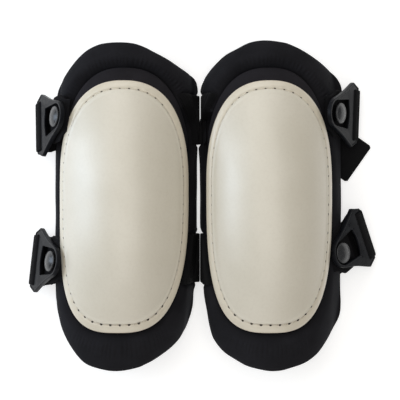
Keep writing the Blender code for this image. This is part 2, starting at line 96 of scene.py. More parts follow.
# Each clip: the middle of its rounded nose in millimetres from its pad's middle, with x outwards; in degrees
# its slope, its heading and its turn in its own plane, and its tab's turn; and the stud's place along it in
# millimetres.
CLIPS = {
    "left_upper": dict(hook=(63.2, 83, 42.8), slope=59, yaw=5, turn=-15, tab_turn=-10, stud=0.6),
    "left_lower": dict(hook=(65.9, -48.5, 42.4), slope=58, yaw=8.5, turn=-5, tab_turn=2, stud=1.9),
    "right_upper": dict(hook=(63, 86.3, 40.8), slope=55, yaw=-3, turn=2, tab_turn=0, stud=5.5),
    "right_lower": dict(hook=(69.3, -40.5, 36), slope=44, yaw=4, turn=22, tab_turn=22, stud=-1.6),
}
STRAP_Y = {"upper": 82 * MM, "lower": -47 * MM}
STRAP_HALF_WIDTH = 22.8 * MM
STRAP_THICKNESS = 1.5 * MM
STRAP_COLUMNS = 19
LOOP_END_THICKNESS = 1.3 * MM
TAB_HALF_WIDTH = 22 * MM
TAB_THICKNESS = 1.9 * MM
TAIL_HALF_WIDTH = 20.6 * MM
TAIL_LENGTH_MM = 30

PLATE_THICKNESS = 3.6 * MM
# The clip's recess round the stud: its nose's radius in millimetres, and where that arc starts in degrees.
RECESS_NOSE = (12.1, 98)
# The strap's loop round the clip's bar: where its round part starts along the clip, and its radius.
BAR_WRAP = (38.2 * MM, 3 * MM)
# Where the strap comes up through the slot, along the clip.
SLOT_X = 32 * MM


# ---------------------------------------------------------------- the shared surface


def end_drop(y):
    """How far the surface falls towards the pad's ends."""
    reach = np.abs(y) / END_DROP_AT
    bent = np.minimum(reach, 1) ** END_DROP_POWER
    return END_DROP * (bent + END_DROP_POWER * np.maximum(0, reach - 1))


def outer_height(pad, x, y):
    """The outer surface's height over the plan points x, y, measured from the pad's middle."""
    half_width = np.where(x > 0, pad["right"], pad["left"])
    steepness = (SHOULDER_Z - FOOT_HEIGHT) / (half_width - SHOULDER_X)
    side = SHOULDER_Z - (np.abs(x) - SHOULDER_X) * steepness
    arc = ARCH_CENTRE + np.sqrt(np.maximum(ARCH_RADIUS**2 - x**2, 0))
    return np.where(np.abs(x) <= SHOULDER_X, arc, side) - end_drop(y)


def outward(pad, x, y, step=1.2 * MM):
    """The outer surface's normals, from its slopes over a step each way."""
    slope_x = (outer_height(pad, x + step, y) - outer_height(pad, x - step, y)) / (2 * step)
    slope_y = (outer_height(pad, x, y + step) - outer_height(pad, x, y - step)) / (2 * step)
    normal = np.stack([-slope_x, -slope_y, np.ones_like(slope_x)], axis=-1)
    return normal / np.linalg.norm(normal, axis=-1, keepdims=True)


def to_world(pad, points):
    """Moves points from the pad's middle to its place, with its lean."""
    lean = pad["lean"] * (np.minimum(0, points[..., 1]) / LEAN_LENGTH) ** 2
    moved = points + np.array([pad["x"], pad["y"], 0])
    moved[..., 0] += lean
    return moved


def surface(pad, plan, depth):
    """World points at a depth below the outer surface, over plan points (..., 2)."""
    x, y, depth = np.broadcast_arrays(plan[..., 0], plan[..., 1], depth)
    points = np.stack([x, y, outer_height(pad, x, y)], axis=-1) - outward(pad, x, y) * depth[..., None]
    share = np.maximum(0, depth) / DEEPEST
    lowest = LOWEST_OUTER + (LOWEST_INNER - LOWEST_OUTER) * share
    above = (points[..., 2] - lowest) / LOWEST_BLEND
    soft = lowest + LOWEST_BLEND * np.log1p(np.exp(np.minimum(above, 30)))
    points[..., 2] = np.where(above < 30, soft, points[..., 2])
    return to_world(pad, points)


# ---------------------------------------------------------------- outlines


def cap_edge(pad, angle, side=0.0, top=0.0, bottom=0.0):
    """The cap's outline at angles, made larger by growths in metres: (..., 2) plan points."""
    across, along = np.cos(angle), np.sin(angle)
    power = 2 / np.where(along > 0, CAP_TOP_ROUNDNESS, CAP_BOTTOM_ROUNDNESS)
    length = np.where(along > 0, CAP_TOP_Y + top - CAP_WIDEST_Y, CAP_WIDEST_Y - CAP_BOTTOM_Y + bottom)
    x = np.sign(across) * (pad["cap"] + side) * np.abs(across) ** power
    y = np.sign(along) * length * np.abs(along) ** power
    return np.stack([x, CAP_WIDEST_Y + y], axis=-1)


def even_angles(pad, count, **growth):
    """Angles that space points evenly along the cap's outline, from its right side, anticlockwise."""
    dense = np.linspace(0, 2 * math.pi, 20001)
    points = cap_edge(pad, dense, **growth)
    length = np.concatenate([[0], np.cumsum(np.linalg.norm(np.diff(points, axis=0), axis=1))])
    wanted = np.arange(count) / count * length[-1]
    return np.interp(wanted, length, dense), length[-1]


def smooth_path(points, count, closed=False):
    """A Catmull-Rom curve through points, resampled evenly."""
    points = np.asarray(points, float)
    if closed:
        around = np.concatenate([points[-1:], points, points[:2]])
    else:
        around = np.concatenate([2 * points[:1] - points[1:2], points, 2 * points[-1:] - points[-2:-1]])
    pieces = []
    for a, b, c, d in zip(around, around[1:], around[2:], around[3:]):
        t = np.linspace(0, 1, 24, endpoint=False)[:, None]
        pieces.append(b + 0.5 * t * (c - a + t * (2 * a - 5 * b + 4 * c - d + t * (3 * (b - c) + d - a))))
    if not closed:
        pieces.append(points[-1:])
    dense = np.concatenate(pieces)
    if closed:
        dense = np.concatenate([dense, dense[:1]])
    length = np.concatenate([[0], np.cumsum(np.linalg.norm(np.diff(dense[:, :3], axis=0), axis=1))])
    wanted = np.linspace(0, length[-1], count, endpoint=not closed)
    return np.stack([np.interp(wanted, length, dense[:, i]) for i in range(dense.shape[1])], axis=-1)


def body_edge(pad, polar):
    """The body's outline at polar angles, which are measured in units of the body's half sizes."""
    line = smooth_path(np.array(pad["outline"]) * MM, 3000, closed=True)
    x, y = line[:, 0] / BODY_HALF_WIDTH, line[:, 1] / BODY_HALF_LENGTH
    angles, reach = np.arctan2(y, x), np.hypot(x, y)
    order = np.argsort(angles)
    found = np.interp(polar, angles[order], reach[order], period=2 * math.pi)
    points = [BODY_HALF_WIDTH * found * np.cos(polar), BODY_HALF_LENGTH * found * np.sin(polar)]
    return np.stack(points, axis=-1)


def body_rim(pad, count):
    """The body's outline as count points, from its right side."""
    return body_edge(pad, np.arange(count) / count * 2 * math.pi)


def wander(along, seed, lengths, total=1.0):
    """A smooth uneven wave along a closed line: whole numbers of waves with fixed phases."""
    phases = np.random.default_rng(seed).uniform(0, 2 * math.pi, len(lengths))
    waves = [np.sin(2 * math.pi * n * along + p) / (i + 1) for i, (n, p) in enumerate(zip(lengths, phases))]
    return total * sum(waves) / len(lengths)


def ramp(value, low, high):
    """0 up to low, 1 from high, and smooth between them."""
    t = np.clip((value - low) / (high - low), 0, 1)
    return t * t * (3 - 2 * t)


def hump(value, middle, width):
    """1 at the middle, fading to 0 on both sides."""
    return np.exp(-(((value - middle) / width) ** 2))


# ---------------------------------------------------------------- meshes


def new_object(name, data):
    obj = bpy.data.objects.new(name, data)
    bpy.context.scene.collection.objects.link(obj)
    return obj


def mesh_object(name, verts, faces, material):
    mesh = bpy.data.meshes.new(name)
    mesh.from_pydata(np.asarray(verts).tolist(), [], faces)
    mesh.validate()
    mesh.update()
    obj = new_object(name, mesh)
    mesh.materials.append(material)
    mesh.shade_smooth()
    return obj


def quads(rows, columns, wrap_rows=False, flip=False):
    """The faces between rows of points, each row a closed loop."""
    r, c = np.meshgrid(np.arange(rows if wrap_rows else rows - 1), np.arange(columns), indexing="ij")
    a = r * columns + c
    b = r * columns + (c + 1) % columns
    d = (r + 1) % rows * columns + c
    e = (r + 1) % rows * columns + (c + 1) % columns
    order = (a, d, e, b) if flip else (a, b, e, d)
    return np.stack(order, axis=-1).reshape(-1, 4).tolist()


def loft(name, rows, material, wrap=False, pole_first=False, pole_last=False, flip=False):
    """A skin over rows of points, each row a closed loop. A pole closes an end to one point."""
    rows = np.asarray(rows)
    count, columns = rows.shape[:2]
    verts = rows.reshape(-1, 3)
    faces = quads(count, columns, wrap_rows=wrap, flip=flip)
    for wanted, row in ((pole_first, 0), (pole_last, count - 1)):
        if not wanted:
            continue
        centre = len(verts)
        verts = np.concatenate([verts, rows[row].mean(axis=0, keepdims=True)])
        for c in range(columns):
            pair = (row * columns + c, row * columns + (c + 1) % columns)
            if (row == 0) == flip:
                pair = pair[::-1]
            faces.append((pair[0], pair[1], centre) if row else (pair[1], pair[0], centre))
    return mesh_object(name, verts, faces, material)


def shifted(faces, base):
    """The same faces, for points that start at base."""
    return [tuple(base + i for i in face) for face in faces]


def full_turn(count):
    return np.linspace(0, 2 * math.pi, count, endpoint=False)


def add_uv(obj, coordinates):
    """Stores a (u, v) in centimetres for each vertex as a UV map."""
    layer = obj.data.uv_layers.new(name="band")
    index = np.empty(len(obj.data.loops), int)
    obj.data.loops.foreach_get("vertex_index", index)
    layer.data.foreach_set("uv", np.asarray(coordinates)[index].astype(np.float32).ravel())


def band(name, grid, material, thickness=STRAP_THICKNESS):
    """A woven band: grid is (rows along, columns across, 3) through the middle of its thickness."""
    grid = np.asarray(grid, float)
    along = np.gradient(grid, axis=0)
    across = np.gradient(grid, axis=1)
    normal = np.cross(along, across)
    normal /= np.linalg.norm(normal, axis=-1, keepdims=True)
    rows, columns = grid.shape[:2]
    c = np.abs(np.linspace(-1, 1, columns))
    half = thickness / 2 * np.sqrt(np.maximum(1 - c**14, 0.08))
    top = grid + normal * half[None, :, None]
    low = grid - normal * half[None, :, None]
    loop = np.concatenate([top, low[:, ::-1]], axis=1)
    verts = loop.reshape(-1, 3)
    faces = quads(rows, 2 * columns)
    for row, turned in ((0, False), (rows - 1, True)):
        for i in range(columns - 1):
            start = row * 2 * columns
            face = [start + i, start + i + 1, start + 2 * columns - 2 - i, start + 2 * columns - 1 - i]
            faces.append(face[::-1] if turned else face)
    obj = mesh_object(name, verts, faces, material)
    obj.data.set_sharp_from_angle(angle=math.radians(50))
    lengths = np.linalg.norm(np.diff(grid[:, columns // 2], axis=0), axis=-1)
    v = np.concatenate([[0], np.cumsum(lengths)])
    widths = np.linalg.norm(np.diff(grid[rows // 2], axis=0), axis=-1)
    u = np.concatenate([[0], np.cumsum(widths)])
    u = np.concatenate([u, u[::-1]])
    uv = np.stack(np.broadcast_arrays(u[None, :], v[:, None]), axis=-1) * 100
    add_uv(obj, uv.reshape(-1, 2))
    bm = bmesh.new()
    bm.from_mesh(obj.data)
    bmesh.ops.recalc_face_normals(bm, faces=bm.faces)
    bm.to_mesh(obj.data)
    bm.free()
    return obj


def even_columns(count):
    """Places across a band from -1 to 1, closer together at its edges."""
    t = np.linspace(-1, 1, count)
    return np.sign(t) * (1 - (1 - np.abs(t)) ** 1.5)


# ---------------------------------------------------------------- materials


class Nodes:
    """A small helper for building a material's nodes."""

    def __init__(self, name):
        self.material = bpy.data.materials.new(name)
        self.material.use_nodes = True
        self.tree = self.material.node_tree
        self.shader = self.tree.nodes["Principled BSDF"]

    def add(self, kind, inputs=None, **settings):
        node = self.tree.nodes.new("ShaderNode" + kind)
        for key, value in settings.items():
            setattr(node, key, value)
        for key, value in (inputs or {}).items():
            self.feed(node, key, value)
        return node

    def feed(self, node, key, value):
        socket = node.inputs[key]
        if isinstance(value, bpy.types.NodeSocket):
            self.tree.links.new(value, socket)
        else:
            socket.default_value = value

    def set(self, **values):
        """Gives the shader values or links: an underscore in a name stands for a space."""
        for key, value in values.items():
            self.feed(self.shader, key.replace("_", " "), value)

    def coordinates(self, kind="Object"):
        return self.add("TexCoord").outputs[kind]

    def attribute(self, name):
        return self.add("Attribute", attribute_name=name).outputs["Fac"]

    def mapping(self, vector, scale, rotation=(0, 0, 0)):
        return self.add("Mapping", {"Vector": vector, "Scale": scale, "Rotation": rotation}).outputs[0]

    def noise(self, vector, scale, detail=3):
        return self.add("TexNoise", {"Vector": vector, "Scale": scale, "Detail": detail}).outputs[0]

    def wave(self, vector, scale, **inputs):
        """Bands across X, or across Y where bands_direction says so."""
        settings = {"bands_direction": inputs.pop("bands_direction", "X")}
        return self.add("TexWave", {"Vector": vector, "Scale": scale, **inputs}, **settings).outputs["Fac"]

    def math(self, operation, a, b=0.0):
        return self.add("Math", {0: a, 1: b}, operation=operation).outputs[0]

    def span(self, value, low, high, out_low, out_high):
        inputs = {"Value": value, 1: low, 2: high, 3: out_low, 4: out_high}
        return self.add("MapRange", inputs).outputs[0]

    def mix(self, factor, first, second):
        node = self.add("Mix", data_type="RGBA")
        for key, value in ((0, factor), (6, first), (7, second)):
            self.feed(node, key, value)
        return node.outputs[2]

    def bump(self, height, strength, distance, before=None):
        inputs = {"Height": height, "Strength": strength, "Distance": distance}
        if before is not None:
            inputs["Normal"] = before
        return self.add("Bump", inputs).outputs[0]


def leather_material():
    n = Nodes("cream_leather")
    place = n.coordinates()
    mottle = n.noise(place, 26, 4)
    speck = n.noise(place, 420, 2)
    base = n.mix(n.span(mottle, 0.35, 0.65, 0, 1), (0.605, 0.563, 0.468, 1), (0.630, 0.588, 0.494, 1))
    base = n.mix(n.span(speck, 0.45, 0.75, 0, 0.25), base, (0.53, 0.48, 0.39, 1))
    flange = n.attribute("flange")
    base = n.mix(n.math("MULTIPLY", flange, 0.5), base, (0.62, 0.552, 0.425, 1))
    # Painted shade: the leather turns dark brown along the stitch groove, unevenly, and most at the stitch
    # holes.
    groove_painted_shade = n.math("MULTIPLY", n.attribute("groove"), n.span(n.noise(place, 90, 3), 0.3, 0.7, 0.5, 1.0))
    base = n.mix(groove_painted_shade, base, (0.27, 0.21, 0.15, 1))
    base = n.mix(n.attribute("rim"), base, (0.66, 0.52, 0.42, 1))
    rough = n.span(n.noise(place, 60, 3), 0.3, 0.7, 0.34, 0.44)
    cells = {"Vector": place, "Scale": 1150.0, "Randomness": 1.0}
    grain = n.add("TexVoronoi", cells, feature="DISTANCE_TO_EDGE")
    height = n.math("MINIMUM", grain.outputs["Distance"], 0.22)
    first = n.bump(height, 0.10, 0.00012)
    second = n.bump(n.noise(place, 130, 3), 0.05, 0.0006, first)
    n.set(Base_Color=base, Roughness=rough, Normal=second)
    n.set(Specular_IOR_Level=0.8, Coat_Weight=0.7, Coat_Roughness=0.36)
    return n.material


# The backing's dark reddish brown: partly its own colour, partly painted shade under the cap's edge.
def backing_and_shade_material():
    n = Nodes("brown_backing")
    place = n.coordinates()
    fibre = n.noise(n.mapping(place, (1, 1, 6)), 900, 3)
    base = n.mix(fibre, (0.10, 0.028, 0.018, 1), (0.20, 0.075, 0.045, 1))
    n.set(Base_Color=base, Roughness=0.75, Normal=n.bump(fibre, 0.4, 0.0003))
    return n.material


def fabric_material(name, dark, light, weave=1500.0, sheen=0.02):
    """A close jersey knit: two crossed fine waves, with uneven tone."""
    n = Nodes(name)
    place = n.coordinates()
    turned = n.mapping(place, (1, 1, 1), (0.3, 0.5, 0.75))
    wales = n.wave(turned, weave * 0.32, Distortion=0.6, Detail=1.0)
    courses = n.wave(turned, weave * 0.27, Distortion=0.8, Detail=1.0, bands_direction="Y")
    knit = n.math("MULTIPLY", wales, courses)
    tone = n.span(n.noise(place, 38, 4), 0.3, 0.7, 0, 1)
    fuzz = n.noise(place, 700, 3)
    base = n.mix(n.math("MULTIPLY", tone, n.span(fuzz, 0.3, 0.7, 0.5, 1)), dark, light)
    first = n.bump(knit, 0.35, 0.00025)
    second = n.bump(n.noise(place, 160, 3), 0.12, 0.0008, first)
    n.set(Base_Color=base, Roughness=n.span(fuzz, 0.3, 0.7, 0.78, 0.94), Normal=second)
    n.set(Sheen_Weight=sheen, Sheen_Roughness=0.5, Sheen_Tint=(0.62, 0.66, 0.78, 1), Specular_IOR_Level=0.05)
    return n.material


def band_material(name, dark, light, rib, cords):
    """Woven elastic: fine ribs across the band, with cords along it. Its UVs are in centimetres."""
    n = Nodes(name)
    place = n.coordinates("UV")
    ribs = n.wave(place, rib, Distortion=0.3, Detail=1.0, bands_direction="Y")
    lines = n.wave(place, cords, Distortion=0.2, Detail=1.0)
    height = n.math("ADD", ribs, n.math("MULTIPLY", lines, 0.35))
    fuzz = n.noise(n.coordinates(), 800, 3)
    tone = n.math("MULTIPLY", ribs, n.span(fuzz, 0.3, 0.7, 0.6, 1))
    base = n.mix(tone, dark, light)
    n.set(Base_Color=base, Roughness=n.span(fuzz, 0.3, 0.7, 0.68, 0.85), Normal=n.bump(height, 0.6, 0.0003))
    n.set(Sheen_Weight=0.01, Specular_IOR_Level=0.05)
    return n.material


def plastic_material(name, colour, roughness, fine=0.06, gloss=0.11):
    """Moulded plastic with a fine spark texture and soft unevenness."""
    n = Nodes(name)
    place = n.coordinates()
    wear = n.span(n.noise(place, 120, 4), 0.35, 0.75, 0, 1)
    base = n.mix(wear, colour, tuple(min(1, c * 1.5 + 0.004) for c in colour[:3]) + (1,))
    rough = n.span(n.noise(place, 240, 3), 0.3, 0.7, roughness - 0.05, roughness + 0.08)
    first = n.bump(n.noise(place, 1900, 2), fine, 0.0002)
    second = n.bump(n.noise(place, 60, 2), 0.05, 0.001, first)
    n.set(Base_Color=base, Roughness=rough, Normal=second, Specular_IOR_Level=gloss)
    return n.material


def thread_material():
    n = Nodes("thread")
    place = n.coordinates()
    twist = n.wave(n.mapping(place, (1, 1, 1), (0.5, 0.6, 0.8)), 420.0)
    base = n.mix(twist, (0.52, 0.46, 0.35, 1), (0.74, 0.69, 0.58, 1))
    n.set(Base_Color=base, Roughness=0.62, Normal=n.bump(twist, 0.5, 0.0002))
    return n.material


# The stitch holes' near black stands for the shade inside them: painted shade.
def hole_shade_material():
    n = Nodes("stitch_hole_painted_shade")
    shade = n.noise(n.coordinates(), 600, 2)
    n.set(Base_Color=n.mix(shade, (0.012, 0.009, 0.006, 1), (0.05, 0.035, 0.022, 1)), Roughness=0.9)
    return n.material


def floor_material():
    n = Nodes("floor")
    shade = n.noise(n.coordinates(), 3, 2)
    n.set(Base_Color=n.mix(shade, (0.60, 0.60, 0.60, 1), (0.62, 0.62, 0.62, 1)), Roughness=0.7)
    n.set(Emission_Color=(1, 1, 1, 1), Emission_Strength=0.6, Specular_IOR_Level=0.1)
    return n.material


# ---------------------------------------------------------------- the pads' cushions

# Distances from the cap's edge, along its surface.
STITCH_AT = 8.3 * MM
STITCH_PITCH = 8.7 * MM
# How far the crown panel, and the seam that the border is gathered into, reach past the cap's top.
PANEL_TOP = 15.6 * MM
SEAM_TOP = 16.4 * MM
# Depths below the outer surface. The numbers marked _MM are in millimetres, as most depths here are.
BASE_DEPTH = 11.8 * MM
LINING_DEPTH_MM = 20.4
CAP_THICKNESS_MM = 2.4
# How far the cap's flange flares out on the pad's inner and outer side, and how far it is drawn in for that.
FLARE_INNER_MM, FLARE_OUTER_MM = 2.3, 0.5
FLARE_PULL, FLARE_PULL_REACH = 2.1 * MM, 18 * MM
# What a distance along the surface measures in plan: less on the sides, which are steep, than at the ends.
SIDE_SLANT, END_SLANT = 0.55, 0.95


def inner_share(pad, angle):
    """1 on the side where the pads face each other, and 0 on the other."""
    return ramp(-pad["side"] * np.cos(angle), 0.25, 0.85)


def inset(pad, angle, distance):
    """The cap's outline drawn in by a distance along its surface."""
    pull = FLARE_PULL * inner_share(pad, angle) * max(0.0, 1 - distance / FLARE_PULL_REACH)
    return cap_edge(pad, angle, -SIDE_SLANT * distance - pull, -END_SLANT * distance, -END_SLANT * distance)


def inner_rings(pad, angle, distances, shares):
    """Plan rings from the cap's edge in to its middle."""
    rings = [inset(pad, angle, d) for d in distances]
    middle = np.array([0, CAP_WIDEST_Y])
    last = rings[-1]
    rings += [middle + (last - middle) * share for share in shares]
    return rings


def point_attribute(obj, name, values):
    layer = obj.data.attributes.new(name, "FLOAT", "POINT")
    layer.data.foreach_set("value", np.asarray(values, np.float32))


def flare(pad, angle, e):
    """How far the flange stands out from the arch at e millimetres from its edge, in millimetres."""
    most = FLARE_INNER_MM * inner_share(pad, angle) + FLARE_OUTER_MM * inner_share(pad, math.pi - angle)
    return most * max(0.0, 1 - e * MM / STITCH_AT)


def build_cap(name, pad):
    """The cap's leather shell, with its sewn flange and the stitches' groove, and the backing under it, whose
    dark brown line past the cap's edge is partly the backing's own brown and partly painted shade.
    """
    count = 720
    angle, length = even_angles(pad, count)
    along = np.arange(count) / count
    distances = np.array([
        0, 0.25, 0.6, 1.1, 1.8, 3, 4.2, 5.2, 6, 6.6, 7.1, 7.5, 7.9, 8.3, 8.7, 9.1, 9.6, 10.2, 10.9, 11.7,
        12.7, 14, 15.6, 17.5, 20, 23,
    ]) * MM
    shares = [*np.arange(0.93, 0.12, -0.07), 0.1, 0.05, 0.02]
    rings = inner_rings(pad, angle, distances, shares)
    wave = wander(along, 5 if name == "left" else 9, (9, 23, 41), 0.12 * MM)
    stitch_count = round(0.95 * length / STITCH_PITCH)
    phase = 2 * math.pi * along * stitch_count
    sideways = ramp(np.abs(np.cos(angle)), 0.4, 0.9)
    rows, marks = [], []
    for index, ring in enumerate(rings):
        e = distances[index] / MM if index < len(distances) else 30.0
        rounded_edge_drop = 1.25 * max(0, 1 - e / 1.5) ** 2.4
        stitch_groove = 1.15 * hump(e, 8.3, 1.05) * (1 + 0.12 * np.cos(phase)) * (1 - 0.4 * sideways)
        shoulder = 0.7 * hump(e, 10.8, 1.7) + 0.45 * ramp(e, 8.6, 10.4) * (1 - 0.6 * ramp(e, 14, 24))
        inner_shoulder = 0.5 * inner_share(pad, angle) * (ramp(e, 8.6, 12) - ramp(e, 14, 30))
        flange_roll = 0.22 * hump(e, 4.2, 2.2) - 0.10 * np.cos(phase) * hump(e, 6.6, 1.5)
        depth = rounded_edge_drop + stitch_groove - shoulder - inner_shoulder - flange_roll
        depth = (depth - flare(pad, angle, e)) * MM + wave * (ramp(e, 1, 6) - ramp(e, 10, 20))
        rows.append(surface(pad, ring, depth))
        # The mask for the painted shade in the stitch groove, strongest at each stitch hole.
        groove_mark = hump(e, 8.4, 0.7) * (0.7 + 0.3 * np.cos(phase))
        marks.append((1 - ramp(e, 7.6, 9.2), groove_mark, 0.8 * (1 - ramp(e, 0.1, 1.3))))
    rows, marks = rows[::-1], marks[::-1]
    # The underside.
    for e, depth in ((0.05, 1.7), (0.5, 2.25), (2, CAP_THICKNESS_MM), (12, CAP_THICKNESS_MM)):
        ring = inset(pad, angle, e * MM)
        rows.append(surface(pad, ring, (depth - flare(pad, angle, e)) * MM))
        marks.append((1, 0, 1 if e < 1 else 0.3))
    middle = np.array([0, CAP_WIDEST_Y])
    for share in (0.6, 0.2):
        plan = middle + (ring - middle) * share
        rows.append(surface(pad, plan, CAP_THICKNESS_MM * MM))
        marks.append((1, 0, 0))
    cap = loft(f"{name}_cap_leather", rows, LEATHER, pole_first=True, pole_last=True, flip=True)
    for label, values in zip(("flange", "groove", "rim"), zip(*marks)):
        values = [np.broadcast_to(v, (count,)) for v in values]
        point_attribute(cap, label, np.concatenate([*values, [0, 0]]))
    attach(cap, f"{name}_pad")
    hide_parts(f"{name}_cap")

    # The backing stands a little past the cap's edge and shows as a dark brown line: partly the backing's own
    # brown, partly painted shade cast by the cap.
    backing_rows = []
    top, low = 2.75, 3.35
    for grow, depth in ((-18, top), (-4, top), (0.35, top), (0.55, 3.05), (0.35, low), (-4, low), (-18, low)):
        ring = inset(pad, angle[::2], -grow * MM)
        stand = flare(pad, angle[::2], max(0, -grow))
        backing_rows.append(surface(pad, ring, (depth - stand) * MM))
    backing = loft(f"{name}_cap_cut_edge_and_shade_line", backing_rows, BACKING_AND_SHADE, wrap=True, flip=True)
    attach(backing, f"{name}_pad")
    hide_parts(f"{name}_cap_backing")
    build_stitches(name, pad, stitch_count, angle)


def build_stitches(name, pad, stitch_count, angle):
    """Single sunk stitches between pricked holes; each hole is a near-black oval set in the surface, as
    painted shade.
    """
    random = np.random.default_rng(3 if name == "left" else 4)
    line = inset(pad, angle, STITCH_AT)
    closed = np.concatenate([line, line[:1]])
    length = np.concatenate([[0], np.cumsum(np.linalg.norm(np.diff(closed, axis=0), axis=1))])

    def plan(place):
        place = np.mod(place, 1) * length[-1]
        return np.stack([np.interp(place, length, closed[:, i]) for i in range(2)], axis=-1)

    def sideways(points):
        return ramp(np.abs(points[:, 0]) / pad["cap"], 0.7, 0.9)

    verts, faces, hole_verts, hole_faces = [], [], [], []
    turn = full_turn(8)
    rows, columns = 11, len(turn)
    ends = [range(columns)[::-1], range((rows - 1) * columns, rows * columns)]
    for index in range(stitch_count):
        start = (index + 0.085 + random.uniform(-0.02, 0.02)) / stitch_count
        end = (index + 0.915 + random.uniform(-0.02, 0.02)) / stitch_count
        along = np.linspace(0, 1, rows)
        path_plan = plan(start + (end - start) * along)
        sink = (1.9 - 1.15 * np.sin(math.pi * along) ** 0.35 - 0.5 * sideways(path_plan)) * MM
        path = surface(pad, path_plan, sink)
        normal = outward(pad, *path_plan.T)
        ahead = np.gradient(path, axis=0)
        ahead /= np.linalg.norm(ahead, axis=1, keepdims=True)
        side = np.cross(ahead, normal)
        width = 0.52 * MM * np.sqrt(np.clip(1 - (2 * along - 1) ** 8, 0.12, 1))
        side_axis, up_axis = side * width[:, None], normal * 0.72 * width[:, None]
        ring = np.stack([path + side_axis * math.cos(t) + up_axis * math.sin(t) for t in turn], axis=1)
        base = sum(len(v) for v in verts)
        verts.append(ring.reshape(-1, 3))
        faces += shifted(quads(rows, columns) + ends, base)

        spot = plan(np.array([index / stitch_count, (index + 0.01) / stitch_count]))
        shown = sideways(spot)[0]
        low = ramp(-spot[0, 1] / MM, 50, 75)
        # On the cap's steep sides and low end the holes sit higher and grow larger, so that more of their
        # painted shade shows.
        hole_depth = 0.95 - max(0.7 * shown, 0.35 * low) + random.uniform(-0.1, 0.1)
        centre, beyond = surface(pad, spot, hole_depth * MM)
        up = outward(pad, *spot[0])
        ahead = (beyond - centre) / np.linalg.norm(beyond - centre)
        side = np.cross(ahead, up)
        twist = random.uniform(-0.5, 0.5)
        long_axis = side * math.cos(twist) + ahead * math.sin(twist)
        short_axis = np.cross(up, long_axis)
        size = random.uniform(0.95, 1.3) * (1.3 + 0.8 * max(shown, 0.8 * low))
        oval = [long_axis * math.cos(t) * 0.78 + short_axis * math.sin(t) * 0.52 for t in turn]
        oval = np.array(oval) * size * MM
        rings = []
        for lift, share in ((0.30, 0.0), (0.28, 0.45), (0.16, 0.85), (-0.1, 1.0), (-0.5, 0.8)):
            rings.append(centre + up * lift * MM + oval * share)
        base = sum(len(v) for v in hole_verts)
        hole_verts.append(np.array(rings).reshape(-1, 3))
        hole_faces += shifted(quads(len(rings), columns), base)
    stitches = mesh_object(f"{name}_cap_stitches", np.concatenate(verts), faces, THREAD)
    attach(stitches, f"{name}_pad")
    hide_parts(f"{name}_cap_stitching")
    holes = mesh_object(f"{name}_stitch_holes", np.concatenate(hole_verts), hole_faces, HOLE_SHADE)
    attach(holes, f"{name}_pad")


def seam_side(pad, angle):
    """How far the crown's seam runs outside the cap's side: furthest on the inner side of the pad."""
    inner = np.cos(angle) * pad["side"] < 0
    outer_growth = 6.2 * ramp(np.sin(angle), 0.2, 0.6)
    inner_growth = 8.2 * ramp(np.sin(angle), 0.0, 0.4)
    return np.where(inner, inner_growth, outer_growth) * MM


def build_crown_panel(name, pad):
    """The smooth padded panel that shows as a crescent above the cap."""
    count = 560
    angle, _ = even_angles(pad, count, top=PANEL_TOP)
    side = seam_side(pad, angle)
    profile = (
        (0, 9.5), (0.15, 8), (0.5, 6.6), (1.1, 5.5), (2, 4.7), (3.2, 4.2), (5, 3.95), (8, 4.0), (14, 4.3),
        (26, 4.6),
    )
    rows = []
    for e, depth in profile:
        ring = cap_edge(pad, angle, side - (0.8 + 0.55 * e) * MM, PANEL_TOP - 0.95 * e * MM, (-2 - e) * MM)
        rows.append(surface(pad, ring, depth * MM))
    for depth, side_in, top_in, bottom_in in ((9, 16, 24, 26), (9.6, 1.7, 1, 3)):
        ring = cap_edge(pad, angle, side - side_in * MM, PANEL_TOP - top_in * MM, -bottom_in * MM)
        rows.append(surface(pad, ring, depth * MM))
    panel = loft(f"{name}_crown_cushion", rows, FABRIC_PLAIN, wrap=True)
    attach(panel, f"{name}_pad")
    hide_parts(f"{name}_crown_panel", f"{name}_crown_foam")


def ring_between(pad, angle, share, inner_growth):
    """A ring at a share of the way from the seam round the cap to the body's outline."""
    inner = cap_edge(pad, angle, seam_side(pad, angle) + inner_growth[0], *inner_growth[1:])
    polar = np.arctan2(inner[:, 1] / BODY_HALF_LENGTH, inner[:, 0] / BODY_HALF_WIDTH)
    outer = body_edge(pad, polar)
    return inner + (outer - inner) * share


def edge_axes(high, low):
    """Half the way from the ring low up to the ring high, its length, and the direction outwards."""
    tangent = np.roll(high, -1, axis=0) - np.roll(high, 1, axis=0)
    half = (high - low) / 2
    out = np.cross(tangent, half)
    out /= np.linalg.norm(out, axis=1, keepdims=True)
    return half, np.linalg.norm(half, axis=1, keepdims=True), out


def rounded_edge(high, low, bulge, turns):
    """Rows round an edge, from the ring high to the ring low, that bulge by a share of half its height."""
    half, size, out = edge_axes(high, low)
    return [(high + low) / 2 + half * math.cos(t) + out * size * bulge * math.sin(t) for t in turns]


